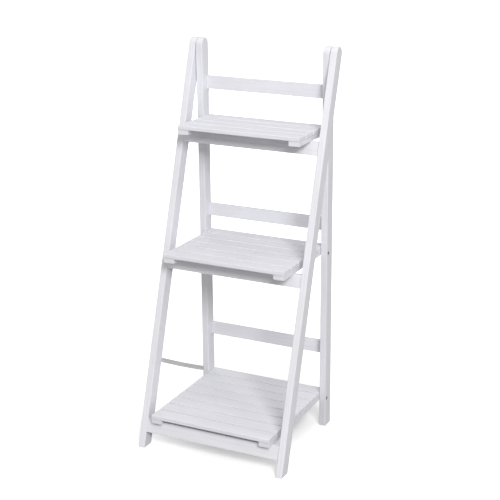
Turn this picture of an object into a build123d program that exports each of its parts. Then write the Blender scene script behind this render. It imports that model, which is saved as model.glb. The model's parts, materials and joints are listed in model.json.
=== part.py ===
from build123d import *
from dataclasses import dataclass
from math import atan2, cos, degrees, hypot, radians, sin, tan
import os

# Folding ladder shelf, standing open. Lengths are millimetres and angles are degrees.
# +Z is up, the front faces -Y, and +X is to the right of someone facing the front.
# The origin is on the floor, at the centre of the footprint.

# The whole ladder
ladder_height = 1080.0
ladder_width = 430.0
front_lean = 16.3
rear_lean = 2.1

# Posts: four alike, each rounded at the top about the pivot and cut level at the floor
post_thickness = 19.0
post_depth = 38.0
post_edge_radius = 2.0
frame_gap = 1.5

# Rails: the front ones are flush with the front faces, the back ones with the rear faces.
# A back rail's rise is from the top of the shelf below it to the rail's middle.
front_rail_thickness = 12.0
front_rail_height = 35.0
back_rail_thickness = 12.0
back_rail_height = 36.0
rail_edge_radius = 1.0
top_back_rail_rise = 90.0
middle_back_rail_rise = 59.0
bottom_back_rail_rise = 130.0

# Shelves: slats on two cleats, hinged on the rear posts and resting on the front rails.
# The top shelf's drop is from the tops of the posts, and the others stand at levels from the floor.
top_shelf_drop = 213.0
middle_shelf_level = 535.0
bottom_shelf_level = 101.0
top_slat_count = 4
middle_slat_count = 6
bottom_slat_count = 8
slat_width = 43.0
slat_thickness = 11.0
slat_gap = 5.0
slat_edge_radius = 1.5
cleat_width = 30.0
cleat_height = 13.0
cleat_end_inset = 2.0
shelf_side_gap = 0.5

# Dowels at the ends of every rail
dowel_radius = 3.0
dowel_depth = 14.0
dowel_spacing = 16.0

# Pivot pins at the top, blind in both posts, with a washer in the gap between them
pin_radius = 4.0
pin_depth = 13.0
pin_washer_radius = 11.0

# Shelf bolts, with their heads sunk in the rear posts and their nuts sunk in the cleats
bolt_setback = 10.0
bolt_radius = 2.5
bolt_head_radius = 4.75
bolt_head_height = 4.0
bolt_head_well_radius = 5.5
bolt_head_recess = 0.5
bolt_socket_across = 4.0
bolt_socket_depth = 2.5
nut_across = 8.0
nut_height = 5.0
nut_well_radius = 5.0
nut_recess = 0.5
bolt_washer_radius = 6.0

# Limit strap on the left side: it keeps the legs from spreading, and hangs slack when they close.
# Its levels are those of its middle line, at the rear face of the front post and at the front
# face of the rear post. A tab lies across the front post, and the other end on the rear post.
strap_width = 12.5
strap_thickness = 1.2
strap_front_level = 221.5
strap_rear_level = 108.0
strap_tab_length = 15.0
strap_lap_length = 30.0
strap_screw_setback = 21.0
strap_screw_length = 12.0
strap_screw_radius = 1.6
strap_screw_head_radius = 3.3
strap_screw_head_height = 1.5

# Slat screws, driven up through the cleats
screw_radius = 1.75
screw_head_radius = 3.5
screw_head_height = 2.0
screw_well_radius = 3.8
screw_recess = 3.0
screw_cover = 4.0
screw_inset = 12.0

# Clearances
fixed_clearance = 0.05
running_clearance = 0.1
end_clearance = 0.5
washer_play = 0.1


@dataclass
class Tier:
    """One shelf with the rail that stands behind it."""

    name: str
    shelf_level: float
    slat_count: int
    back_rail_rise: float


tiers = [
    Tier("top", ladder_height - top_shelf_drop, top_slat_count, top_back_rail_rise),
    Tier("middle", middle_shelf_level, middle_slat_count, middle_back_rail_rise),
    Tier("bottom", bottom_shelf_level, bottom_slat_count, bottom_back_rail_rise),
]
sides = {"left": -1, "right": 1}

# Places across the ladder
front_post_inner = ladder_width / 2 - post_thickness
rear_post_outer = front_post_inner - frame_gap
rear_post_inner = rear_post_outer - post_thickness
shelf_half_length = rear_post_inner - shelf_side_gap
cleat_inner = shelf_half_length - cleat_width
bolt_seat = rear_post_outer - bolt_head_recess - bolt_head_height
nut_seat = cleat_inner + nut_recess + nut_height

# The pivot line, from which both frames hang. Its place puts the footprint's centre at y = 0.
post_half = post_depth / 2
pivot_z = ladder_height - post_half
front_reach = pivot_z * tan(radians(front_lean)) + post_half / cos(radians(front_lean))
rear_reach = pivot_z * tan(radians(rear_lean)) + post_half / cos(radians(rear_lean))
pivot_y = (front_reach - rear_reach) / 2
front_frame = Location((0, pivot_y, pivot_z), (-front_lean, 0, 0))
rear_frame = Location((0, pivot_y, pivot_z), (rear_lean, 0, 0))

# Across a frame, depth runs from its front face to its rear face, with 0 at the middle of a post.
# Along a frame, 0 is at the pivot and the feet are below it.
front_rail_depth = -post_half + front_rail_thickness / 2
back_rail_depth = post_half - back_rail_thickness / 2
bolt_depth = -post_half + bolt_setback


def along_frame(turn, level, depth):
    """Where a point at this level and depth lies along a frame turned by this angle about X."""
    return (level - pivot_z - depth * sin(radians(turn))) / cos(radians(turn))


def y_in_frame(turn, level, depth):
    """The y of a point at this level and depth of a frame turned by this angle about X."""
    return pivot_y + depth * cos(radians(turn)) - along_frame(turn, level, depth) * sin(radians(turn))


def front_rail_level(tier):
    """The level of a front rail's flat top, on which the cleats lie."""
    return tier.shelf_level - slat_thickness - cleat_height


def front_rail_middle(tier):
    """Where the middle of a front rail lies along the front frame."""
    top = along_frame(-front_lean, front_rail_level(tier), -post_half)
    return top - front_rail_height / 2


def back_rail_middle(tier):
    """Where the middle of a back rail lies along the rear frame."""
    return along_frame(rear_lean, tier.shelf_level + tier.back_rail_rise, post_half)


def shelf_pivot(tier):
    """The shelf's bolt line, at mid-height of its cleats."""
    level = tier.shelf_level - slat_thickness - cleat_height / 2
    return Location((0, y_in_frame(rear_lean, level, bolt_depth), level))


def shelf_rear(tier):
    """The y of a shelf's rear edge, flush with the rear face of the rear posts."""
    return y_in_frame(rear_lean, tier.shelf_level, post_half) - shelf_pivot(tier).position.Y


def shelf_front(tier):
    """The y of a shelf's front edge, measured from its bolt line."""
    return shelf_rear(tier) - tier.slat_count * slat_width - (tier.slat_count - 1) * slat_gap


def slat_middle(tier, number):
    """The y of the middle of a slat, counted from the front, measured from the bolt line."""
    return shelf_front(tier) + slat_width / 2 + number * (slat_width + slat_gap)


def bar(radius, start, end):
    """A round bar on the X axis from start to end."""
    return Pos((start + end) / 2, 0, 0) * Rot(0, 90, 0) * Cylinder(radius, abs(end - start))


def strap_ends():
    """The middle line of the strap's free span, as the y and z of its two ends."""
    front = (y_in_frame(-front_lean, strap_front_level, post_half), strap_front_level)
    rear = (y_in_frame(rear_lean, strap_rear_level, -post_half), strap_rear_level)
    return front, rear


def strap_line():
    """The strap's own frame: y runs along it from its front end, and z across its width."""
    (front_y, front_z), (rear_y, rear_z) = strap_ends()
    return Location((0, front_y, front_z), (degrees(atan2(rear_z - front_z, rear_y - front_y)), 0, 0))


def strap_span():
    """The length of the strap between the two posts."""
    (front_y, front_z), (rear_y, rear_z) = strap_ends()
    return hypot(rear_y - front_y, rear_z - front_z)


def strap_tab_place():
    """The middle of the tab, on the rear face of the left front post, in the front frame."""
    along = along_frame(-front_lean, strap_front_level, post_half)
    return Pos(-(front_post_inner + strap_tab_length / 2), post_half, along) * Rot(-90, 0, 0)


def strap_lap_place():
    """Where the strap's screw stands on the outer face of the left rear post, in the strap's frame."""
    return Pos(-rear_post_outer, strap_span() + strap_screw_setback, 0) * Rot(0, -90, 0)


def both_sides(right_piece):
    """A piece on the right with its mirror image on the left, as separate solids."""
    return Compound([right_piece, mirror(right_piece, about=Plane.YZ)])


def dowel_places(depth, middle):
    """The two dowel lines at a rail's end, as places in its frame."""
    return [Pos(0, depth, middle + offset) for offset in (-dowel_spacing / 2, dowel_spacing / 2)]


def post_blank():
    """A straight post about the X axis, with its rounded top at the pivot and a long tail."""
    length = pivot_z / cos(radians(max(front_lean, rear_lean))) + post_depth
    outline = Pos(0, -length / 2) * Rectangle(post_depth, length) + Circle(post_half)
    blank = extrude(Plane.YZ * outline, amount=post_thickness / 2, both=True)
    return fillet(blank.faces().filter_by(Axis.X).edges(), post_edge_radius)


def front_post(side):
    """A front post: the blind pivot hole and the dowel holes are in its inner face."""
    post = Pos(side * (front_post_inner + post_thickness / 2), 0, 0) * post_blank()
    pin_hole = bar(pin_radius + fixed_clearance, front_post_inner, front_post_inner + pin_depth + end_clearance)
    dowel_hole = bar(
        dowel_radius + fixed_clearance, front_post_inner, front_post_inner + dowel_depth + end_clearance
    )
    holes = [pin_hole]
    for tier in tiers:
        holes += [place * dowel_hole for place in dowel_places(front_rail_depth, front_rail_middle(tier))]
    for hole in holes:
        post -= hole if side > 0 else mirror(hole, about=Plane.YZ)
    if side < 0:
        post -= strap_tab_place() * strap_screw(fixed_clearance)
    return split(front_frame * post, bisect_by=Plane.XY, keep=Keep.TOP)


def rear_post(side):
    """A rear post: pivot hole and bolt wells outside, bolt holes through, dowel holes inside."""
    post = Pos(side * (rear_post_inner + post_thickness / 2), 0, 0) * post_blank()
    pin_hole = bar(pin_radius + running_clearance, rear_post_outer - pin_depth - end_clearance, rear_post_outer)
    dowel_hole = bar(
        dowel_radius + fixed_clearance, rear_post_inner, rear_post_inner + dowel_depth + end_clearance
    )
    bolt_hole = bar(bolt_radius + running_clearance, rear_post_inner, rear_post_outer)
    bolt_hole += bar(bolt_head_well_radius, bolt_seat, rear_post_outer)
    holes = [pin_hole]
    for tier in tiers:
        holes += [place * dowel_hole for place in dowel_places(back_rail_depth, back_rail_middle(tier))]
        bolt_along = along_frame(rear_lean, shelf_pivot(tier).position.Z, bolt_depth)
        holes.append(Pos(0, bolt_depth, bolt_along) * bolt_hole)
    for hole in holes:
        post -= hole if side > 0 else mirror(hole, about=Plane.YZ)
    post = rear_frame * post
    if side < 0:
        post -= strap_line() * strap_lap_place() * strap_screw(fixed_clearance)
    return split(post, bisect_by=Plane.XY, keep=Keep.TOP)


def drill_rail_ends(rail, half_length, depth, middle):
    """A rail, in its frame's own coordinates, with the dowel holes in both ends."""
    hole = bar(dowel_radius + fixed_clearance, half_length - dowel_depth - end_clearance, half_length)
    for place in dowel_places(depth, middle):
        rail -= place * hole
        rail -= mirror(place * hole, about=Plane.YZ)
    return rail


def front_rail(tier):
    """A front rail: its top is planed level, so that the cleats sit flat on it."""
    middle = front_rail_middle(tier)
    spare = front_rail_thickness
    blank = Box(2 * front_post_inner, front_rail_thickness, front_rail_height + spare)
    blank = fillet(blank.edges().filter_by(Axis.X), rail_edge_radius)
    rail = Pos(0, front_rail_depth, middle + spare / 2) * blank
    rail = drill_rail_ends(rail, front_post_inner, front_rail_depth, middle)
    return split(front_frame * rail, bisect_by=Plane.XY.offset(front_rail_level(tier)), keep=Keep.BOTTOM)


def back_rail(tier):
    """A back rail, square to the rear posts."""
    middle = back_rail_middle(tier)
    blank = Box(2 * rear_post_inner, back_rail_thickness, back_rail_height)
    blank = fillet(blank.edges().filter_by(Axis.X), rail_edge_radius)
    rail = Pos(0, back_rail_depth, middle) * blank
    return rear_frame * drill_rail_ends(rail, rear_post_inner, back_rail_depth, middle)


def rail_dowels(frame, seam, depth, middles):
    """All the dowels of one frame, each half in a rail and half in a post."""
    dowel = bar(dowel_radius, seam - dowel_depth, seam + dowel_depth)
    dowels = []
    for middle in middles:
        for place in dowel_places(depth, middle):
            dowels += both_sides(place * dowel).solids()
    return frame * Compound(dowels)


def slat_screw(clearance=0.0):
    """A countersunk screw standing on its head at z = 0, or the hole for one."""
    length = cleat_height - screw_recess + slat_thickness - screw_cover
    head = Cone(
        screw_head_radius + clearance,
        screw_radius + clearance,
        screw_head_height,
        align=(Align.CENTER, Align.CENTER, Align.MIN),
    )
    shank = Cylinder(screw_radius + clearance, length + clearance, align=(Align.CENTER, Align.CENTER, Align.MIN))
    return head + shank


def screw_places(tier, number):
    """Where a slat's two screws start, measured from the shelf's bolt line."""
    x = shelf_half_length - screw_inset
    z = -cleat_height / 2 + screw_recess
    return [Pos(side * x, slat_middle(tier, number), z) for side in sides.values()]


def screw_hole():
    """The hole for a slat screw, with the well that lets its head in from below."""
    well = Cylinder(screw_well_radius, screw_recess, align=(Align.CENTER, Align.CENTER, Align.MAX))
    return slat_screw(fixed_clearance) + well


def slat(tier, number):
    """A slat, with blind holes from below for its screws."""
    blank = fillet(Box(2 * shelf_half_length, slat_width, slat_thickness).edges(), slat_edge_radius)
    board = Pos(0, slat_middle(tier, number), (cleat_height + slat_thickness) / 2) * blank
    for place in screw_places(tier, number):
        board -= place * screw_hole()
    return shelf_pivot(tier) * board


def cleat(tier, side):
    """A cleat under the slats' ends, bored for the shelf bolt."""
    front = shelf_front(tier) + cleat_end_inset
    rear = shelf_rear(tier) - cleat_end_inset
    blank = Pos(0, (front + rear) / 2, 0) * Box(cleat_width, rear - front, cleat_height)
    piece = Pos(side * (shelf_half_length - cleat_width / 2), 0, 0) * blank
    bolt_hole = bar(bolt_radius + running_clearance, cleat_inner, shelf_half_length)
    bolt_hole += bar(nut_well_radius, cleat_inner, nut_seat)
    piece -= bolt_hole if side > 0 else mirror(bolt_hole, about=Plane.YZ)
    for number in range(tier.slat_count):
        for place in screw_places(tier, number):
            piece -= place * screw_hole()
    return shelf_pivot(tier) * piece


def slat_screws(tier):
    """All the screws of one shelf."""
    screws = []
    for number in range(tier.slat_count):
        screws += [place * slat_screw() for place in screw_places(tier, number)]
    return shelf_pivot(tier) * Compound(screws)


def shelf_bolt():
    """The right-hand shelf bolt: a round head with a six-sided socket, and a plain shank."""
    shank = bar(bolt_radius, cleat_inner + nut_recess, bolt_seat)
    head = bar(bolt_head_radius, bolt_seat, bolt_seat + bolt_head_height)
    socket = RegularPolygon(bolt_socket_across / 2, 6, major_radius=False)
    mouth = bolt_seat + bolt_head_height
    head -= extrude(Plane.YZ.offset(mouth) * socket, amount=-bolt_socket_depth)
    return shank + head


def shelf_nut():
    """The right-hand nut, at the end of the bolt inside the cleat."""
    outline = RegularPolygon(nut_across / 2, 6, major_radius=False) - Circle(bolt_radius + fixed_clearance)
    return extrude(Plane.YZ.offset(nut_seat - running_clearance) * outline, amount=-nut_height)


def washer(outer_radius, inner_radius, gap_start, gap_end):
    """A right-hand washer in the gap between two faces, with a little play."""
    outline = Circle(outer_radius) - Circle(inner_radius)
    thickness = gap_end - gap_start - washer_play
    return extrude(Plane.YZ.offset(gap_start + washer_play / 2) * outline, amount=thickness)


def strap_screw(clearance=0.0):
    """A round-headed screw for the strap, with the post's face at z = 0, or the hole for one."""
    shank = Cylinder(
        strap_screw_radius + clearance,
        strap_screw_length + strap_thickness + clearance,
        align=(Align.CENTER, Align.CENTER, Align.MAX),
    )
    head = Cylinder(
        strap_screw_head_radius, strap_screw_head_height, align=(Align.CENTER, Align.CENTER, Align.MIN)
    )
    head = fillet(head.edges().sort_by(Axis.Z)[-1], strap_screw_head_height * 0.6)
    return Pos(0, 0, strap_thickness + fixed_clearance) * (shank + head)


def limit_strap():
    """The strap: a straight span, with a tab turned out across the front post."""
    inner = -rear_post_outer - fixed_clearance
    start = -strap_width
    length = strap_span() + strap_lap_length - start
    span = strap_line() * Pos(inner - strap_thickness / 2, start + length / 2, 0) * Box(
        strap_thickness, length, strap_width
    )
    span -= front_frame * Pos(inner, 0, along_frame(-front_lean, strap_front_level, post_half)) * Box(
        2 * post_thickness, post_depth, 4 * strap_width
    )
    tab_outer = -(front_post_inner + strap_tab_length)
    tab = Box(inner - tab_outer, strap_width, strap_thickness, align=(Align.MIN, Align.CENTER, Align.MIN))
    tab_start = Pos(tab_outer, post_half, along_frame(-front_lean, strap_front_level, post_half))
    strap = span + front_frame * tab_start * Rot(-90, 0, 0) * tab
    strap -= front_frame * strap_tab_place() * strap_screw(fixed_clearance)
    strap -= strap_line() * strap_lap_place() * strap_screw(fixed_clearance)
    return strap


def build_nodes():
    """Every piece of the ladder by name."""
    nodes = {}
    for side_name, side in sides.items():
        nodes[f"front_post_{side_name}"] = front_post(side)
        nodes[f"rear_post_{side_name}"] = rear_post(side)
    for tier in tiers:
        nodes[f"front_rail_{tier.name}"] = front_rail(tier)
        nodes[f"back_rail_{tier.name}"] = back_rail(tier)
        for side_name, side in sides.items():
            nodes[f"{tier.name}_shelf_cleat_{side_name}"] = cleat(tier, side)
        for number in range(tier.slat_count):
            nodes[f"{tier.name}_shelf_slat_{number + 1}"] = slat(tier, number)
        nodes[f"{tier.name}_shelf_screws"] = slat_screws(tier)
        nodes[f"{tier.name}_shelf_bolts"] = shelf_pivot(tier) * both_sides(shelf_bolt())
        nodes[f"{tier.name}_shelf_nuts"] = shelf_pivot(tier) * both_sides(shelf_nut())
        bolt_washer = washer(
            bolt_washer_radius, bolt_radius + running_clearance, shelf_half_length, rear_post_inner
        )
        nodes[f"{tier.name}_shelf_washers"] = shelf_pivot(tier) * both_sides(bolt_washer)
    front_middles = [front_rail_middle(tier) for tier in tiers]
    back_middles = [back_rail_middle(tier) for tier in tiers]
    nodes["front_rail_dowels"] = rail_dowels(front_frame, front_post_inner, front_rail_depth, front_middles)
    nodes["back_rail_dowels"] = rail_dowels(rear_frame, rear_post_inner, back_rail_depth, back_middles)
    pin = bar(pin_radius, rear_post_outer - pin_depth, front_post_inner + pin_depth)
    nodes["pivot_pins"] = front_frame * both_sides(pin)
    pin_washer = washer(pin_washer_radius, pin_radius + running_clearance, rear_post_outer, front_post_inner)
    nodes["pivot_washers"] = rear_frame * both_sides(pin_washer)
    nodes["limit_strap"] = limit_strap()
    nodes["strap_screw_front"] = front_frame * strap_tab_place() * strap_screw()
    nodes["strap_screw_rear"] = strap_line() * strap_lap_place() * strap_screw()
    return nodes


os.makedirs("parts", exist_ok=True)
for node_name, shape in build_nodes().items():
    export_step(shape, f"parts/{node_name}.step")
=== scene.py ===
import json
from math import cos, pi, radians, sin, tau

import bmesh
import bpy
from bpy.props import FloatProperty, FloatVectorProperty, IntProperty, PointerProperty
from bpy.types import Operator, Panel, PropertyGroup
from mathutils import Matrix, Vector


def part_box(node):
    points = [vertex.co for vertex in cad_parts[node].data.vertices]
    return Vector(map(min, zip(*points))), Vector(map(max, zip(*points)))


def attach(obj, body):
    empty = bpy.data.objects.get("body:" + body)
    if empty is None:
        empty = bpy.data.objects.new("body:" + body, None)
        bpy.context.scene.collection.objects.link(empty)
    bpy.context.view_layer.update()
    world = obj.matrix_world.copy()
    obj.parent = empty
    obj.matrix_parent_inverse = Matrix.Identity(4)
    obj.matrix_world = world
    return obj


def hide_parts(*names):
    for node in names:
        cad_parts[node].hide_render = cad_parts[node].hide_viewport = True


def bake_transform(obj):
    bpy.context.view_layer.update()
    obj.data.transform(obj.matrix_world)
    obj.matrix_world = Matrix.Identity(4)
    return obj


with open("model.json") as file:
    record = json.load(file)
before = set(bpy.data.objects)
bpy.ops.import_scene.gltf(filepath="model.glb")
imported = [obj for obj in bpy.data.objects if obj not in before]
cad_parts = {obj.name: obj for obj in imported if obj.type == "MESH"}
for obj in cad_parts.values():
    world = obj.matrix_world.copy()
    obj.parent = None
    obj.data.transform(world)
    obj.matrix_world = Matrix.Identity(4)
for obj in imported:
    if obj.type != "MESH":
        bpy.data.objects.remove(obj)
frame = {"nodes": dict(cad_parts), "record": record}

bl_info = {
    "name": "Folding Ladder Shelf",
    "version": (1, 0, 0),
    "blender": (4, 5, 0),
    "location": "View3D > Sidebar > Ladder",
    "description": "Painted wood, hardware, limit strap and studio for a folding ladder shelf",
    "category": "Object",
}

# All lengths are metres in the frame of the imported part: +Z up, the front towards -Y.
TIERS = ("top", "middle", "bottom")
SIDES = ("left", "right")
FRONT_LEAN = radians(16.3)
REAR_LEAN = radians(2.1)
POST_DEPTH = 0.038
X_AXIS, Y_AXIS, Z_AXIS = range(3)

# Colours of the bare materials, and of steel where its coat is worn
BRIGHT_ZINC, BRIGHT_STEEL = (0.75, 0.75, 0.74), (0.28, 0.27, 0.26)
BEECH_DARK, BEECH_PALE, BEECH_FLECK = (0.56, 0.40, 0.24), (0.68, 0.52, 0.34), (0.40, 0.26, 0.15)
NYLON_DARK, NYLON_PALE = (0.55, 0.60, 0.66), (0.66, 0.70, 0.74)
WHITE = (1, 1, 1, 1)

# Where the record puts the pivot of the frame
frame_fold = next(j for j in frame["record"]["behaviour"]["joints"] if j["name"] == "frame_fold")
PIVOT = Vector(frame_fold["pos_m"])

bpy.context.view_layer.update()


class PaintSettings(PropertyGroup):
    """The satin paint on all the laths."""

    paint_color: FloatVectorProperty(
        name="Paint",
        description="Colour of the paint",
        subtype="COLOR",
        default=(0.775, 0.775, 0.82),
        min=0,
        max=1,
    )
    thin_color: FloatVectorProperty(
        name="Thin Paint",
        description="Colour where the paint is thin over the grain",
        subtype="COLOR",
        default=(0.64, 0.635, 0.66),
        min=0,
        max=1,
    )
    grain_width: FloatProperty(
        name="Grain Width",
        description="Width of a grain line",
        default=0.0035,
        min=0.0005,
        unit="LENGTH",
    )
    grain_length: FloatProperty(
        name="Grain Length",
        description="Length of a grain line",
        default=0.16,
        min=0.01,
        unit="LENGTH",
    )
    brush_width: FloatProperty(
        name="Brush Width",
        description="Width of one brush mark",
        default=0.0011,
        min=0.0002,
        unit="LENGTH",
    )
    relief: FloatProperty(
        name="Relief",
        description="Height of the grain and brush marks",
        default=0.00022,
        min=0,
        unit="LENGTH",
    )
    roughness: FloatProperty(
        name="Roughness",
        description="Middle roughness of the paint",
        default=0.42,
        min=0,
        max=1,
    )


class HardwareSettings(PropertyGroup):
    """Screws, bolts, nuts and washers."""

    zinc_color: FloatVectorProperty(
        name="Zinc",
        description="Colour of the plated steel",
        subtype="COLOR",
        default=(0.62, 0.61, 0.58),
        min=0,
        max=1,
    )
    dark_color: FloatVectorProperty(
        name="Dark Steel",
        description="Colour of the blackened bolts",
        subtype="COLOR",
        default=(0.10, 0.095, 0.09),
        min=0,
        max=1,
    )
    cross_arm: FloatProperty(
        name="Cross Arm",
        description="Half the length of a cross recess",
        default=0.0019,
        min=0,
        unit="LENGTH",
    )
    cross_width: FloatProperty(
        name="Cross Width",
        description="Half the width of a cross recess",
        default=0.00042,
        min=0,
        unit="LENGTH",
    )
    turn_seed: IntProperty(
        name="Turn Seed",
        description="Seed for how far each screw is turned",
        default=7,
    )


class StrapSettings(PropertyGroup):
    """The webbing strap on the left side."""

    width: FloatProperty(
        name="Width",
        description="Width of the webbing",
        default=0.0124,
        min=0.001,
        unit="LENGTH",
    )
    thickness: FloatProperty(
        name="Thickness",
        description="Thickness of the webbing",
        default=0.0011,
        min=0.0002,
        unit="LENGTH",
    )
    sag: FloatProperty(
        name="Sag",
        description="How far the middle hangs",
        default=0.0015,
        min=0,
        unit="LENGTH",
    )
    front_level: FloatProperty(
        name="Front Level",
        description="Level of the strap at the front post",
        default=0.2215,
        unit="LENGTH",
    )
    rear_level: FloatProperty(
        name="Rear Level",
        description="Level of the strap at the rear post",
        default=0.108,
        unit="LENGTH",
    )
    rib_pitch: FloatProperty(
        name="Rib Pitch",
        description="Distance between ribs of the weave",
        default=0.0016,
        min=0.0002,
        unit="LENGTH",
    )
    web_color: FloatVectorProperty(
        name="Webbing",
        description="Colour of the webbing",
        subtype="COLOR",
        default=(0.66, 0.66, 0.66),
        min=0,
        max=1,
    )


class StageSettings(PropertyGroup):
    """Floor, lamps and camera."""

    floor_color: FloatVectorProperty(
        name="Floor",
        description="Colour of the floor",
        subtype="COLOR",
        default=(0.93, 0.93, 0.93),
        min=0,
        max=1,
    )
    floor_bounce: FloatVectorProperty(
        name="Floor Bounce",
        description="Colour of the floor in the light that it sends back",
        subtype="COLOR",
        default=(0.40, 0.39, 0.38),
        min=0,
        max=1,
    )
    near_glow: FloatProperty(
        name="Near Glow",
        description="How far the camera sees the floor round the feet lifted",
        default=0.35,
        min=0,
    )
    far_glow: FloatProperty(
        name="Far Glow",
        description="How much more the camera sees the far floor lifted",
        default=0.7,
        min=0,
    )
    ambient: FloatProperty(
        name="Ambient",
        description="Strength of the even light all round",
        default=0.52,
        min=0,
    )
    key_power: FloatProperty(
        name="Key Lamp",
        description="Power of the main lamp",
        default=300.0,
        min=0,
        unit="POWER",
    )
    top_power: FloatProperty(
        name="Top Lamp",
        description="Power of the lamp overhead",
        default=12.0,
        min=0,
        unit="POWER",
    )
    back_power: FloatProperty(
        name="Back Lamp",
        description="Power of the lamp behind",
        default=75.0,
        min=0,
        unit="POWER",
    )
    camera_place: FloatVectorProperty(
        name="Camera",
        description="Where the camera stands",
        subtype="TRANSLATION",
        default=(1.3792, -2.8495, 1.5138),
    )
    camera_yaw: FloatProperty(
        name="Yaw",
        description="Turn of the camera to the left",
        default=radians(25.3707),
        unit="ROTATION",
    )
    camera_pitch: FloatProperty(
        name="Pitch",
        description="Tilt of the camera downwards",
        default=radians(17.0911),
        unit="ROTATION",
    )
    camera_roll: FloatProperty(
        name="Roll",
        description="Roll of the camera",
        default=radians(0.396),
        unit="ROTATION",
    )
    lens: FloatProperty(
        name="Lens",
        description="Focal length in millimetres",
        default=89.128,
        min=1,
    )


# Small helpers


def link(tree, *pairs):
    """Join sockets in a node tree, each pair from an output to an input."""
    for start, end in pairs:
        tree.links.new(start, end)


def new_material(name):
    """A material with a Principled shader, and its tree and shader."""
    material = bpy.data.materials.new(name)
    material.use_nodes = True
    return material, material.node_tree, material.node_tree.nodes["Principled BSDF"]


def stretched_noise(tree, size, turn=(0, 0, 0), place=(0, 0, 0), detail=3.0):
    """A noise on Object coordinates whose features have this size along three turned axes."""
    coordinates = tree.nodes.new("ShaderNodeTexCoord")
    mapping = tree.nodes.new("ShaderNodeMapping")
    mapping.vector_type = "TEXTURE"
    mapping.inputs["Location"].default_value = place
    mapping.inputs["Rotation"].default_value = turn
    mapping.inputs["Scale"].default_value = size
    noise = tree.nodes.new("ShaderNodeTexNoise")
    noise.inputs["Scale"].default_value = 1.0
    noise.inputs["Detail"].default_value = detail
    link(
        tree,
        (coordinates.outputs["Object"], mapping.inputs["Vector"]),
        (mapping.outputs["Vector"], noise.inputs["Vector"]),
    )
    return noise.outputs["Fac"]


def spread(tree, value, low, high, start=0.3, end=0.7):
    """A value between start and end, spread over low to high."""
    node = tree.nodes.new("ShaderNodeMapRange")
    node.inputs["From Min"].default_value = start
    node.inputs["From Max"].default_value = end
    node.inputs["To Min"].default_value = low
    node.inputs["To Max"].default_value = high
    link(tree, (value, node.inputs["Value"]))
    return node.outputs["Result"]


def blend_colors(tree, factor, first, second):
    """A colour between two, by a factor."""
    node = tree.nodes.new("ShaderNodeMix")
    node.data_type = "RGBA"
    for socket, color in (("A", first), ("B", second)):
        target = next(s for s in node.inputs if s.name == socket and s.type == "RGBA")
        if isinstance(color, bpy.types.NodeSocket):
            link(tree, (color, target))
        else:
            target.default_value = (*color, 1)
    link(tree, (factor, node.inputs["Factor"]))
    return next(s for s in node.outputs if s.type == "RGBA")


def arithmetic(tree, operation, first, second):
    """One sum or product of two values, each a socket or a number."""
    node = tree.nodes.new("ShaderNodeMath")
    node.operation = operation
    for socket, value in zip(node.inputs, (first, second)):
        if isinstance(value, bpy.types.NodeSocket):
            link(tree, (value, socket))
        else:
            socket.default_value = value
    return node.outputs["Value"]


def add_bump(tree, shader, height, distance, strength=1.0):
    """Relief on the shader's surface."""
    bump = tree.nodes.new("ShaderNodeBump")
    bump.inputs["Strength"].default_value = strength
    bump.inputs["Distance"].default_value = distance
    link(tree, (height, bump.inputs["Height"]), (bump.outputs["Normal"], shader.inputs["Normal"]))


def dress(material, *nodes):
    """Give CAD nodes this material."""
    for node in nodes:
        for material_slot in frame["nodes"][node].material_slots:
            material_slot.material = material


# Finishes


def painted_wood(name, grain, turn=0.0, place=(0, 0, 0)):
    """Satin paint on planed wood: grain is the axis it runs along, turned about X."""
    paint = bpy.context.scene.ladder_paint
    material, tree, shader = new_material(name)

    def size(across, along):
        return [along if axis == grain else across for axis in range(3)]

    turned_by = (turn, 0, 0)
    patch_width, patch_length, brush_stretch = 0.05, 0.14, 1.5
    grain_size = size(paint.grain_width, paint.grain_length)
    brush_size = size(paint.brush_width, paint.grain_length * brush_stretch)
    lines = stretched_noise(tree, grain_size, turned_by, place)
    brushed = stretched_noise(tree, brush_size, turned_by, place, detail=1.0)
    patches = stretched_noise(tree, size(patch_width, patch_length), turned_by, place, detail=2.0)
    cloudy = blend_colors(tree, spread(tree, patches, 0.0, 0.35), paint.paint_color, paint.thin_color)
    thin_lines = spread(tree, lines, 0.0, 0.55, start=0.5, end=0.74)
    streaked = blend_colors(tree, thin_lines, cloudy, paint.thin_color)
    link(tree, (streaked, shader.inputs["Base Color"]))
    smoothest, roughest = paint.roughness - 0.07, paint.roughness + 0.1
    link(tree, (spread(tree, patches, smoothest, roughest), shader.inputs["Roughness"]))
    grain_relief = arithmetic(tree, "MULTIPLY", lines, 0.6)
    brush_relief = arithmetic(tree, "MULTIPLY", brushed, 0.4)
    add_bump(tree, shader, arithmetic(tree, "ADD", grain_relief, brush_relief), paint.relief)
    return material


def plated_steel(name, color, worn_color, roughness):
    """Steel hardware with a mottled coat that is worn bright in small spots."""
    material, tree, shader = new_material(name)
    shader.inputs["Metallic"].default_value = 1.0
    mottle_size, spot_size = 0.0016, 0.0006
    scratch_size, scratch_height = (0.0002, 0.002, 0.002), 0.00004
    dull_color = [0.7 * channel for channel in color]
    mottled = stretched_noise(tree, (mottle_size,) * 3)
    spots = stretched_noise(tree, (spot_size,) * 3, place=(0.01, 0.02, 0.03))
    scratches = stretched_noise(tree, scratch_size)
    base = blend_colors(tree, spread(tree, mottled, 0.0, 0.5), color, dull_color)
    worn = blend_colors(tree, spread(tree, spots, 0.0, 0.8, start=0.6, end=0.72), base, worn_color)
    link(tree, (worn, shader.inputs["Base Color"]))
    link(tree, (spread(tree, mottled, roughness - 0.08, roughness + 0.12), shader.inputs["Roughness"]))
    add_bump(tree, shader, scratches, scratch_height)
    return material


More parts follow.
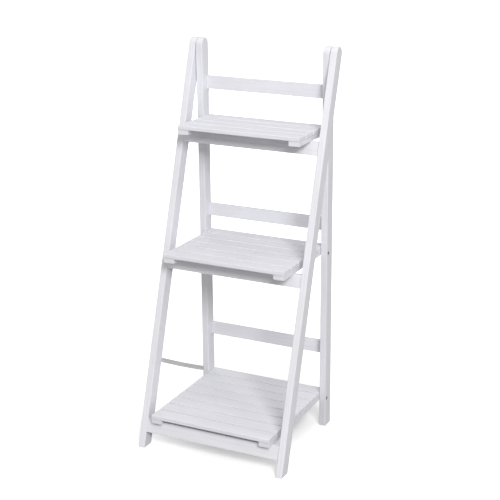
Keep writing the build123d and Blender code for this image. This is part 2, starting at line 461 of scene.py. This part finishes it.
def bare_beech():
    """Unpainted dowel wood."""
    material, tree, shader = new_material("bare_beech")
    fibre_size, fibre_height, fleck_size = (0.02, 0.0006, 0.0006), 0.0001, (0.004, 0.0003, 0.0003)
    fibres = stretched_noise(tree, fibre_size)
    flecks = stretched_noise(tree, fleck_size, place=(0.02, 0.01, 0.03))
    base = blend_colors(tree, spread(tree, fibres, 0.0, 1.0), BEECH_DARK, BEECH_PALE)
    flecked = blend_colors(tree, spread(tree, flecks, 0.0, 0.6, start=0.6, end=0.75), base, BEECH_FLECK)
    link(tree, (flecked, shader.inputs["Base Color"]))
    link(tree, (spread(tree, fibres, 0.55, 0.7), shader.inputs["Roughness"]))
    add_bump(tree, shader, fibres, fibre_height)
    return material


def woven_webbing():
    """Flat woven webbing: ribs across it and yarns along it, on the strap's own UV map in metres."""
    strap = bpy.context.scene.ladder_strap
    material, tree, shader = new_material("woven_webbing")
    uv = tree.nodes.new("ShaderNodeUVMap")
    uv.uv_map = "along_strap"
    soil_size, weave_height = 0.02, 0.0003
    # How far apart the bands of a Wave Texture are at a scale of 1
    unit_pitch = tau / 20

    def bands(axis, pitch):
        wave = tree.nodes.new("ShaderNodeTexWave")
        wave.bands_direction = axis
        wave.inputs["Scale"].default_value = unit_pitch / pitch
        wave.inputs["Distortion"].default_value = 0.4
        wave.inputs["Detail"].default_value = 1.0
        link(tree, (uv.outputs["UV"], wave.inputs["Vector"]))
        return wave.outputs["Fac"]

    ribs = bands("X", strap.rib_pitch)
    yarns = bands("Y", strap.rib_pitch * 0.7)
    half_yarns = arithmetic(tree, "MULTIPLY", yarns, 0.5)
    weave = arithmetic(tree, "MULTIPLY", ribs, arithmetic(tree, "ADD", half_yarns, 0.5))
    soil = stretched_noise(tree, (soil_size,) * 3)
    # A darker webbing colour, used both for the painted shade between the ribs and for real soiling
    dark = [0.6 * channel for channel in strap.web_color]
    # Painted shade: the webbing is darker where the weave is low, in the hollows between the ribs
    woven = blend_colors(tree, spread(tree, weave, 0.0, 1.0, start=0.0, end=0.7), dark, strap.web_color)
    soiled = blend_colors(tree, spread(tree, soil, 0.0, 0.25), woven, dark)
    link(tree, (soiled, shader.inputs["Base Color"]))
    link(tree, (spread(tree, soil, 0.75, 0.9), shader.inputs["Roughness"]))
    shader.inputs["Sheen Weight"].default_value = 0.25
    shader.inputs["Sheen Roughness"].default_value = 0.5
    add_bump(tree, shader, weave, weave_height)
    return material


def moulded_nylon():
    """The pale locking ring in each nut."""
    material, tree, shader = new_material("moulded_nylon")
    grain_size, grain_height = 0.0009, 0.00003
    grain = stretched_noise(tree, (grain_size,) * 3)
    tint = blend_colors(tree, spread(tree, grain, 0.0, 1.0), NYLON_DARK, NYLON_PALE)
    link(tree, (tint, shader.inputs["Base Color"]))
    link(tree, (spread(tree, grain, 0.38, 0.5), shader.inputs["Roughness"]))
    add_bump(tree, shader, grain, grain_height)
    return material


# Shapes


def round_ring(radius):
    """A ring's radius, the same at every angle."""
    return lambda angle: radius


def hexagon_ring(across, limit=1.0):
    """The radius of a hexagon of this width across its flats, cut off at a limit by a chamfer."""
    return lambda angle: min(across / 2 / cos((angle % (pi / 3)) - pi / 6), limit)


def cross_ring(arm, half_width):
    """The radius of a cross recess with rounded ends."""

    def radius(angle):
        across = min(abs(cos(angle)), abs(sin(angle)))
        return min(arm, half_width / max(across, 1e-6))

    return radius


def turned_mesh(name, rings, segments, holed=False):
    """A closed mesh about the Z axis from rings, each a height and a radius by angle."""
    bm = bmesh.new()
    loops = []
    for height, radius in rings:
        angles = [tau * step / segments for step in range(segments)]
        loops.append([bm.verts.new((radius(a) * cos(a), radius(a) * sin(a), height)) for a in angles])
    pairs = list(zip(loops, loops[1:]))
    if holed:
        pairs.append((loops[-1], loops[0]))
    else:
        bm.faces.new(reversed(loops[0]))
        bm.faces.new(loops[-1])
    for lower, upper in pairs:
        for step in range(segments):
            following = (step + 1) % segments
            bm.faces.new((lower[step], lower[following], upper[following], upper[step]))
    bmesh.ops.recalc_face_normals(bm, faces=bm.faces)
    mesh = bpy.data.meshes.new(name)
    bm.to_mesh(mesh)
    bm.free()
    return mesh


def threaded_shank(start, end, radius, depth, turns):
    """Rings along a shank with a ridge for each turn of its thread."""
    pitch = (end - start) / turns
    rings = []
    for turn in range(turns):
        rings.append((start + pitch * turn, round_ring(radius - depth)))
        rings.append((start + pitch * (turn + 0.5), round_ring(radius)))
    return rings


def finish_mesh(mesh, sharp_angle=32):
    """Smooth shading, with edges kept sharp above an angle in degrees."""
    mesh.shade_smooth()
    mesh.set_sharp_from_angle(angle=radians(sharp_angle))


def new_piece(name, mesh, material=None):
    """An object at the origin for a finished mesh."""
    piece = bpy.data.objects.new(name, mesh)
    bpy.context.scene.collection.objects.link(piece)
    if material is not None:
        mesh.materials.clear()
        mesh.materials.append(material)
    return piece


def new_tree(name, inputs):
    """An empty Geometry Nodes tree with named inputs, and its input and output nodes."""
    tree = bpy.data.node_groups.new(name, "GeometryNodeTree")
    tree.interface.new_socket("Geometry", in_out="INPUT", socket_type="NodeSocketGeometry")
    for label, kind in inputs:
        tree.interface.new_socket(label, in_out="INPUT", socket_type=f"NodeSocket{kind}")
    tree.interface.new_socket("Geometry", in_out="OUTPUT", socket_type="NodeSocketGeometry")
    return tree, tree.nodes.new("NodeGroupInput"), tree.nodes.new("NodeGroupOutput")


def end_tree(tree, geometry, given, output):
    """Close a tree with Realize Instances and Set Material."""
    real = tree.nodes.new("GeometryNodeRealizeInstances")
    finish = tree.nodes.new("GeometryNodeSetMaterial")
    link(
        tree,
        (geometry, real.inputs["Geometry"]),
        (real.outputs["Geometry"], finish.inputs["Geometry"]),
        (given.outputs["Material"], finish.inputs["Material"]),
        (finish.outputs["Geometry"], output.inputs["Geometry"]),
    )


def rows_tree():
    """Fasteners in two rows: one on each side, and one pair under each slat."""
    inputs = [
        ("Slats", "Int"),
        ("Side Distance", "Float"),
        ("Row Length", "Float"),
        ("Middle", "Vector"),
        ("Turn Seed", "Int"),
        ("Material", "Material"),
    ]
    tree, given, output = new_tree("fastener_rows", inputs)
    grid = tree.nodes.new("GeometryNodeMeshGrid")
    grid.inputs["Vertices X"].default_value = 2
    move = tree.nodes.new("GeometryNodeTransform")
    place = tree.nodes.new("GeometryNodeInstanceOnPoints")
    turn = tree.nodes.new("FunctionNodeRandomValue")
    turn.data_type = "FLOAT_VECTOR"
    turn.inputs["Min"].default_value = (0, 0, 0)
    turn.inputs["Max"].default_value = (0, 0, tau)
    link(
        tree,
        (given.outputs["Side Distance"], grid.inputs["Size X"]),
        (given.outputs["Row Length"], grid.inputs["Size Y"]),
        (given.outputs["Slats"], grid.inputs["Vertices Y"]),
        (grid.outputs["Mesh"], move.inputs["Geometry"]),
        (given.outputs["Middle"], move.inputs["Translation"]),
        (move.outputs["Geometry"], place.inputs["Points"]),
        (given.outputs["Geometry"], place.inputs["Instance"]),
        (given.outputs["Turn Seed"], turn.inputs["Seed"]),
        (turn.outputs["Value"], place.inputs["Rotation"]),
    )
    end_tree(tree, place.outputs["Instances"], given, output)
    return tree


def pair_tree():
    """A fastener on the right, moved to its place, and its mirror image on the left."""
    tree, given, output = new_tree("fastener_pair", [("Place", "Vector"), ("Material", "Material")])
    move = tree.nodes.new("GeometryNodeTransform")
    mirror = tree.nodes.new("GeometryNodeTransform")
    mirror.inputs["Scale"].default_value = (-1, 1, 1)
    flip = tree.nodes.new("GeometryNodeFlipFaces")
    join = tree.nodes.new("GeometryNodeJoinGeometry")
    link(
        tree,
        (given.outputs["Geometry"], move.inputs["Geometry"]),
        (given.outputs["Place"], move.inputs["Translation"]),
        (move.outputs["Geometry"], mirror.inputs["Geometry"]),
        (mirror.outputs["Geometry"], flip.inputs["Mesh"]),
        (flip.outputs["Mesh"], join.inputs["Geometry"]),
        (move.outputs["Geometry"], join.inputs["Geometry"]),
    )
    end_tree(tree, join.outputs["Geometry"], given, output)
    return tree


def shared_tree(name, make):
    """A tree that is made once."""
    return bpy.data.node_groups.get(name) or make()


def grow(name, prototype, tree, values):
    """The piece that a tree makes from a prototype mesh, as a plain mesh."""
    source = bpy.data.objects.new(f"{name}_source", prototype)
    modifier = source.modifiers.new(name, "NODES")
    modifier.node_group = tree
    for item in tree.interface.items_tree:
        if item.in_out == "INPUT" and item.name in values:
            modifier[item.identifier] = values[item.name]
    bpy.context.scene.collection.objects.link(source)
    depsgraph = bpy.context.evaluated_depsgraph_get()
    mesh = bpy.data.meshes.new_from_object(source.evaluated_get(depsgraph))
    mesh.name = name
    source.modifiers.remove(modifier)
    bpy.data.objects.remove(source)
    finish_mesh(mesh)
    return new_piece(name, mesh)


def middle_of(node):
    """The middle of a CAD node's box."""
    low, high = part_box(node)
    return (low + high) / 2


def right_hand_reach(node):
    """The least and the greatest x of a CAD node's solids on the right."""
    places = [vertex.co.x for vertex in frame["nodes"][node].data.vertices if vertex.co.x > 0]
    return min(places), max(places)


def slats_of(tier):
    """The names of a shelf's slats, from the front."""
    named = [node for node in frame["nodes"] if node.startswith(f"{tier}_shelf_slat_")]
    return sorted(named, key=lambda node: middle_of(node).y)


def post_point(lean, level, depth):
    """The y and z of a point at this level and depth of a frame that leans by this angle."""
    along = (level - PIVOT.z - depth * sin(lean)) / cos(lean)
    return PIVOT.y + depth * cos(lean) - along * sin(lean), level


# Operators, one for each group of pieces


class LADDER_OT_paint_posts(Operator):
    """Paint the four posts, with the grain along each"""

    bl_idname = "ladder.paint_posts"
    bl_label = "Paint Posts"

    def execute(self, context):
        front = painted_wood("front_post_paint", Z_AXIS, -FRONT_LEAN, (0.013, 0.0, 0.4))
        rear = painted_wood("rear_post_paint", Z_AXIS, REAR_LEAN, (0.031, 0.02, 0.1))
        dress(front, *[f"front_post_{side}" for side in SIDES])
        dress(rear, *[f"rear_post_{side}" for side in SIDES])
        return {"FINISHED"}


class LADDER_OT_paint_rails(Operator):
    """Paint the front and back rails, with the grain across the ladder"""

    bl_idname = "ladder.paint_rails"
    bl_label = "Paint Rails"

    def execute(self, context):
        paint = painted_wood("rail_paint", X_AXIS, place=(0.2, 0.017, 0.011))
        for tier in TIERS:
            dress(paint, f"front_rail_{tier}", f"back_rail_{tier}")
        return {"FINISHED"}


class LADDER_OT_paint_shelves(Operator):
    """Paint the slats and cleats of the three shelves"""

    bl_idname = "ladder.paint_shelves"
    bl_label = "Paint Shelves"

    def execute(self, context):
        for number, tier in enumerate(TIERS):
            slat_place, cleat_place = (0.3 * number + 0.1, 0.005, 0.02), (0.01, 0.4 * number, 0.03)
            slat_paint = painted_wood(f"{tier}_slat_paint", X_AXIS, place=slat_place)
            cleat_paint = painted_wood(f"{tier}_cleat_paint", Y_AXIS, place=cleat_place)
            dress(slat_paint, *slats_of(tier))
            dress(cleat_paint, *[f"{tier}_shelf_cleat_{side}" for side in SIDES])
        return {"FINISHED"}


class LADDER_OT_finish_pins(Operator):
    """Finish the dowels in the rail ends and the pins and washers at the top"""

    bl_idname = "ladder.finish_pins"
    bl_label = "Finish Dowels and Pins"

    def execute(self, context):
        hardware = context.scene.ladder_hardware
        dress(bare_beech(), "front_rail_dowels", "back_rail_dowels")
        zinc = plated_steel("zinc_steel", hardware.zinc_color, BRIGHT_ZINC, roughness=0.36)
        dress(zinc, "pivot_pins", "pivot_washers", *[f"{tier}_shelf_washers" for tier in TIERS])
        return {"FINISHED"}


class LADDER_OT_slat_screws(Operator):
    """Drive two cross-recess screws up into every slat"""

    bl_idname = "ladder.slat_screws"
    bl_label = "Slat Screws"

    def execute(self, context):
        hardware = context.scene.ladder_hardware
        zinc = bpy.data.materials["zinc_steel"]
        tree = shared_tree("fastener_rows", rows_tree)
        head_radius, head_height, recess_depth = 0.0035, 0.002, 0.0013
        rim_width, rim_height, neck_length = 0.0003, 0.0002, 0.001
        shank_radius, thread_depth, thread_turns = 0.00175, 0.0004, 9
        point_length, point_radius = 0.003, 0.0001
        cross = cross_ring(hardware.cross_arm, hardware.cross_width)
        recess_floor = cross_ring(hardware.cross_arm * 0.55, hardware.cross_width * 0.8)
        for tier in TIERS:
            low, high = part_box(f"{tier}_shelf_screws")
            length = high.z - low.z
            neck_end, point_start = head_height + neck_length, length - point_length
            rings = [
                (recess_depth, recess_floor),
                (0.0, cross),
                (0.0, round_ring(head_radius - rim_width)),
                (rim_height, round_ring(head_radius)),
                (head_height, round_ring(shank_radius)),
                *threaded_shank(neck_end, point_start, shank_radius, thread_depth, thread_turns),
                (point_start, round_ring(shank_radius - thread_depth)),
                (length - point_radius, round_ring(point_radius)),
            ]
            slats = slats_of(tier)
            first, last = middle_of(slats[0]).y, middle_of(slats[-1]).y
            values = {
                "Slats": len(slats),
                "Side Distance": high.x - low.x - 2 * head_radius,
                "Row Length": last - first,
                "Middle": (0.0, (first + last) / 2, low.z),
                "Turn Seed": hardware.turn_seed,
                "Material": zinc,
            }
            prototype = turned_mesh(f"{tier}_screw", rings, segments=24)
            piece = grow(f"{tier}_slat_screws", prototype, tree, values)
            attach(piece, f"{tier}_shelf")
            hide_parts(f"{tier}_shelf_screws")
        return {"FINISHED"}


class LADDER_OT_shelf_bolts(Operator):
    """Put the shelf bolts in, with chamfered heads and six-sided sockets"""

    bl_idname = "ladder.shelf_bolts"
    bl_label = "Shelf Bolts"

    def execute(self, context):
        hardware = context.scene.ladder_hardware
        dark = plated_steel("dark_steel", hardware.dark_color, BRIGHT_STEEL, roughness=0.42)
        tree = shared_tree("fastener_pair", pair_tree)
        head_radius, head_height, chamfer = 0.00475, 0.004, 0.0006
        socket, socket_floor, socket_depth = hexagon_ring(0.004), hexagon_ring(0.0034), 0.0024
        shank_radius, thread_length, thread_depth, thread_turns = 0.0025, 0.02, 0.0004, 20
        for tier in TIERS:
            inner_end, outer_end = right_hand_reach(f"{tier}_shelf_bolts")
            length = outer_end - inner_end
            rings = [
                (0.0, round_ring(shank_radius - chamfer)),
                *threaded_shank(chamfer, thread_length, shank_radius, thread_depth, thread_turns),
                (thread_length + thread_depth, round_ring(shank_radius)),
                (length - head_height, round_ring(shank_radius)),
                (length - head_height, round_ring(head_radius)),
                (length - chamfer, round_ring(head_radius)),
                (length, round_ring(head_radius - chamfer)),
                (length, socket),
                (length - socket_depth, socket_floor),
            ]
            prototype = turned_mesh(f"{tier}_bolt", rings, segments=36)
            prototype.transform(Matrix.Rotation(pi / 2, 4, "Y"))
            place = middle_of(f"{tier}_shelf_bolts")
            values = {"Place": (inner_end, place.y, place.z), "Material": dark}
            piece = grow(f"{tier}_socket_bolts", prototype, tree, values)
            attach(piece, "rear_frame")
            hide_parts(f"{tier}_shelf_bolts")
        return {"FINISHED"}


class LADDER_OT_shelf_nuts(Operator):
    """Put a lock nut with a nylon ring on the end of every shelf bolt"""

    bl_idname = "ladder.shelf_nuts"
    bl_label = "Shelf Nuts"

    def execute(self, context):
        zinc = bpy.data.materials["zinc_steel"]
        nylon = moulded_nylon()
        tree = shared_tree("fastener_pair", pair_tree)
        across, chamfer, bore_radius, clearance = 0.008, 0.0006, 0.00256, 0.0001
        pocket_depth, pocket_radius, insert_start = 0.0016, 0.0034, 0.0004
        lip_height, lip_radius, rim_radius = 0.0002, 0.0036, 0.0038
        shoulder_radius, corner_radius, face_radius = 0.0041, 0.0045, 0.0039
        bore, flats = round_ring(bore_radius), hexagon_ring(across, corner_radius)
        insert_inside = round_ring(bore_radius + clearance)
        insert_outside = round_ring(pocket_radius - clearance)
        for tier in TIERS:
            start, end = right_hand_reach(f"{tier}_shelf_nuts")
            height = end - start
            nut = [
                (pocket_depth, bore),
                (pocket_depth, round_ring(pocket_radius)),
                (lip_height, round_ring(lip_radius)),
                (0.0, round_ring(rim_radius)),
                (chamfer, hexagon_ring(across, shoulder_radius)),
                (chamfer * 1.5, flats),
                (height - chamfer, flats),
                (height, hexagon_ring(across, face_radius)),
                (height, bore),
            ]
            insert = [
                (insert_start, insert_outside),
                (insert_start, insert_inside),
                (pocket_depth - clearance, insert_inside),
                (pocket_depth - clearance, insert_outside),
            ]
            middle = middle_of(f"{tier}_shelf_nuts")
            for label, rings, material in (("lock_nuts", nut, zinc), ("nut_rings", insert, nylon)):
                prototype = turned_mesh(f"{tier}_{label}_one", rings, segments=36, holed=True)
                prototype.transform(Matrix.Rotation(pi / 2, 4, "Y"))
                values = {"Place": (start, middle.y, middle.z), "Material": material}
                piece = grow(f"{tier}_{label}", prototype, tree, values)
                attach(piece, "rear_frame")
                if label == "lock_nuts":
                    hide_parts(f"{tier}_shelf_nuts")
        return {"FINISHED"}


class LADDER_OT_limit_strap(Operator):
    """Hang the woven limit strap between the left posts"""

    bl_idname = "ladder.limit_strap"
    bl_label = "Limit Strap"

    def execute(self, context):
        strap = context.scene.ladder_strap
        low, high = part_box("limit_strap")
        sections, front_end, rear_end, length = self.route(strap, low.x, high.x)
        piece = new_piece("webbing_strap", self.woven_mesh(strap, sections), woven_webbing())
        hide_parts("limit_strap")
        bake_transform(piece)
        return {"FINISHED"}

    @staticmethod
    def route(strap, outer_x, inner_x):
        """Places along the strap: a tab across the front post, a bend, the free span and the lap."""
        half = strap.thickness / 2
        bend_radius, bend_steps = 0.0019, 8
        tab_inset, tab_steps = 0.0002, 5
        lap_length, step_length = 0.0295, 0.003
        post_normal = Vector((0, cos(FRONT_LEAN), -sin(FRONT_LEAN)))
        post_up = Vector((0, sin(FRONT_LEAN), cos(FRONT_LEAN)))
        front = Vector((0, *post_point(-FRONT_LEAN, strap.front_level, POST_DEPTH / 2)))
        rear = Vector((0, *post_point(REAR_LEAN, strap.rear_level, -POST_DEPTH / 2)))
        along = (rear - front).normalized()
        span_up = Vector((0, -along.z, along.y))
        across, span = Vector((1, 0, 0)), (rear - front).length
        span_x = inner_x - half
        tab_start = front + post_normal * half + across * (outer_x + tab_inset)
        bend_start = front + post_normal * half + across * (span_x - bend_radius)
        sections = []
        for step in range(tab_steps):
            sections.append((tab_start.lerp(bend_start, step / tab_steps), post_up, post_normal))
        for step in range(bend_steps + 1):
            angle = pi / 2 * step / bend_steps
            place = bend_start + bend_radius * (sin(angle) * across + (1 - cos(angle)) * along)
            up = post_up.lerp(span_up, step / bend_steps).normalized()
            sections.append((place, up, post_normal * cos(angle) - across * sin(angle)))
        start = bend_start + bend_radius * (across + along)
        reach = span + lap_length - (start - front).dot(along)
        span_steps = int(reach / step_length)
        for step in range(1, span_steps + 1):
            distance = reach * step / span_steps
            share = min(distance / (span - bend_radius), 1)
            place = start + along * distance - span_up * strap.sag * 4 * share * (1 - share)
            sections.append((place, span_up, -across))
        length = sum((b[0] - a[0]).length for a, b in zip(sections, sections[1:]))
        return sections, front + across * span_x, rear + across * span_x, length

    @staticmethod
    def woven_mesh(strap, sections):
        """A closed strip with thicker edges, and a UV map in metres along and across it."""
        edge, half = strap.width / 2, strap.thickness / 2
        # The outline in shares of half the width and half the thickness
        shape = [(-1, 0), (-0.96, 0.8), (-0.88, 1), (-0.8, 0.8)]
        shape += [(0, 0.8), (0.8, 0.8), (0.88, 1), (0.96, 0.8)]
        shape += [(-place, -height) for place, height in shape]
        bm = bmesh.new()
        uv_layer = bm.loops.layers.uv.new("along_strap")
        rows, mapped, distance, previous = [], {}, 0.0, sections[0][0]
        for place, up, normal in sections:
            distance += (place - previous).length
            previous = place
            row = []
            for across, height in shape:
                vertex = bm.verts.new(place + up * across * edge + normal.normalized() * height * half)
                mapped[vertex] = (distance, across * edge)
                row.append(vertex)
            rows.append(row)
        bm.faces.new(rows[0])
        bm.faces.new(reversed(rows[-1]))
        for first, second in zip(rows, rows[1:]):
            for step in range(len(shape)):
                following = (step + 1) % len(shape)
                bm.faces.new((first[step], second[step], second[following], first[following]))
        bmesh.ops.recalc_face_normals(bm, faces=bm.faces)
        for face in bm.faces:
            for corner in face.loops:
                corner[uv_layer].uv = mapped[corner.vert]
        mesh = bpy.data.meshes.new("webbing_strap")
        bm.to_mesh(mesh)
        bm.free()
        finish_mesh(mesh, sharp_angle=60)
        return mesh


class LADDER_OT_strap_screws(Operator):
    """Finish the round-headed screw at each end of the strap"""

    bl_idname = "ladder.strap_screws"
    bl_label = "Strap Screws"

    def execute(self, context):
        dress(bpy.data.materials["zinc_steel"], "strap_screw_front", "strap_screw_rear")
        return {"FINISHED"}


class LADDER_OT_stage(Operator):
    """Set up the floor, lamps and camera"""

    bl_idname = "ladder.stage"
    bl_label = "Stage"

    def execute(self, context):
        stage = context.scene.ladder_stage
        self.floor(stage)
        self.world(context, stage)
        self.lamp("key_lamp", stage.key_power, size=2.0, place=(3.3, -4.3, 4.0), reflected=False)
        self.lamp("top_lamp", stage.top_power, size=2.4, place=(0.3, -0.4, 3.3))
        self.lamp("back_lamp", stage.back_power, size=2.5, place=(-3.2, 4.2, 1.8), reflected=False)
        self.camera(context, stage)
        return {"FINISHED"}

    @staticmethod
    def floor(stage):
        """A wide pale floor that the camera sees lifted towards white."""
        reach = 20.0
        under_ladder = (-0.03, 0.14, 0.0)
        mesh = bpy.data.meshes.new("studio_floor")
        corners = [(-reach, -reach, 0), (reach, -reach, 0), (reach, reach, 0), (-reach, reach, 0)]
        mesh.from_pydata(corners, [], [(0, 1, 2, 3)])
        material, tree, shader = new_material("pale_floor")
        tone = stretched_noise(tree, (0.8,) * 3)
        dark = [0.98 * channel for channel in stage.floor_color]
        pale = blend_colors(tree, tone, stage.floor_color, dark)
        shader.inputs["Roughness"].default_value = 0.9
        shader.inputs["Emission Color"].default_value = WHITE
        path = tree.nodes.new("ShaderNodeLightPath")
        seen = blend_colors(tree, path.outputs["Is Camera Ray"], stage.floor_bounce, pale)
        link(tree, (seen, shader.inputs["Base Color"]))
        coordinates = tree.nodes.new("ShaderNodeTexCoord")
        distance = tree.nodes.new("ShaderNodeVectorMath")
        distance.operation = "DISTANCE"
        distance.inputs[1].default_value = under_ladder
        link(tree, (coordinates.outputs["Object"], distance.inputs[0]))
        near = spread(tree, distance.outputs["Value"], 0.0, stage.near_glow, start=0.12, end=0.25)
        far = spread(tree, distance.outputs["Value"], 0.0, stage.far_glow, start=0.35, end=1.6)
        lifted = arithmetic(tree, "ADD", near, far)
        glow = arithmetic(tree, "MULTIPLY", path.outputs["Is Camera Ray"], lifted)
        link(tree, (glow, shader.inputs["Emission Strength"]))
        new_piece("studio_floor", mesh, material)

    @staticmethod
    def world(context, stage):
        """Even light all round, and a white background for the camera, also through clear pieces."""
        world = bpy.data.worlds.new("studio")
        world.use_nodes = True
        context.scene.world = world
        tree = world.node_tree
        even = tree.nodes["Background"]
        even.inputs["Color"].default_value = WHITE
        even.inputs["Strength"].default_value = stage.ambient
        white = tree.nodes.new("ShaderNodeBackground")
        white.inputs["Color"].default_value = WHITE
        path = tree.nodes.new("ShaderNodeLightPath")
        camera_ray, clear_ray = path.outputs["Is Camera Ray"], path.outputs["Is Transmission Ray"]
        seen = arithmetic(tree, "MAXIMUM", camera_ray, clear_ray)
        mix = tree.nodes.new("ShaderNodeMixShader")
        link(
            tree,
            (seen, mix.inputs["Fac"]),
            (even.outputs["Background"], mix.inputs[1]),
            (white.outputs["Background"], mix.inputs[2]),
            (mix.outputs["Shader"], tree.nodes["World Output"].inputs["Surface"]),
        )

    @staticmethod
    def lamp(name, power, size, place, reflected=True):
        """A soft square lamp that faces the middle of the ladder, and shows in reflections or not."""
        middle_height = 0.5
        data = bpy.data.lights.new(name, "AREA")
        data.energy = power
        data.size = size
        lamp = bpy.data.objects.new(name, data)
        lamp.location = place
        backwards = Vector(place) - Vector((0, 0, middle_height))
        lamp.rotation_euler = backwards.to_track_quat("Z", "Y").to_euler()
        lamp.visible_glossy = reflected
        bpy.context.scene.collection.objects.link(lamp)

    @staticmethod
    def camera(context, stage):
        """The camera at the photograph's viewing angle."""
        data = bpy.data.cameras.new("camera")
        data.lens = stage.lens
        data.sensor_width = 36.0
        camera = bpy.data.objects.new("camera", data)
        camera.location = stage.camera_place
        yaw = Matrix.Rotation(stage.camera_yaw, 4, "Z")
        pitch = Matrix.Rotation(pi / 2 - stage.camera_pitch, 4, "X")
        roll = Matrix.Rotation(stage.camera_roll, 4, "Z")
        camera.rotation_euler = (yaw @ pitch @ roll).to_euler()
        context.scene.collection.objects.link(camera)
        context.scene.camera = camera
        context.scene.view_settings.view_transform = "Standard"


OPERATORS = (
    LADDER_OT_paint_posts,
    LADDER_OT_paint_rails,
    LADDER_OT_paint_shelves,
    LADDER_OT_finish_pins,
    LADDER_OT_slat_screws,
    LADDER_OT_shelf_bolts,
    LADDER_OT_shelf_nuts,
    LADDER_OT_limit_strap,
    LADDER_OT_strap_screws,
    LADDER_OT_stage,
)


class LADDER_PT_pieces(Panel):
    """The ladder's settings and the steps that dress it."""

    bl_label = "Folding Ladder Shelf"
    bl_space_type = "VIEW_3D"
    bl_region_type = "UI"
    bl_category = "Ladder"

    def draw(self, context):
        for settings in ("ladder_paint", "ladder_hardware", "ladder_strap", "ladder_stage"):
            group = getattr(context.scene, settings)
            box = self.layout.box()
            box.label(text=settings.replace("_", " ").title())
            for name in group.__annotations__:
                box.prop(group, name)
        for operator in OPERATORS:
            self.layout.operator(operator.bl_idname)


SETTINGS = {
    "ladder_paint": PaintSettings,
    "ladder_hardware": HardwareSettings,
    "ladder_strap": StrapSettings,
    "ladder_stage": StageSettings,
}


def register():
    """Register the classes and their settings."""
    for group in SETTINGS.values():
        bpy.utils.register_class(group)
    for name, group in SETTINGS.items():
        setattr(bpy.types.Scene, name, PointerProperty(type=group))
    for operator in OPERATORS:
        bpy.utils.register_class(operator)
    bpy.utils.register_class(LADDER_PT_pieces)


def unregister():
    """Take the classes and their settings away again."""
    bpy.utils.unregister_class(LADDER_PT_pieces)
    for operator in reversed(OPERATORS):
        bpy.utils.unregister_class(operator)
    for name in SETTINGS:
        delattr(bpy.types.Scene, name)
    for group in SETTINGS.values():
        bpy.utils.unregister_class(group)


def main():
    """Register the classes and run every step in order."""
    register()
    for operator in OPERATORS:
        group, name = operator.bl_idname.split(".")
        getattr(getattr(bpy.ops, group), name)()


if __name__ == "__main__":
    main()
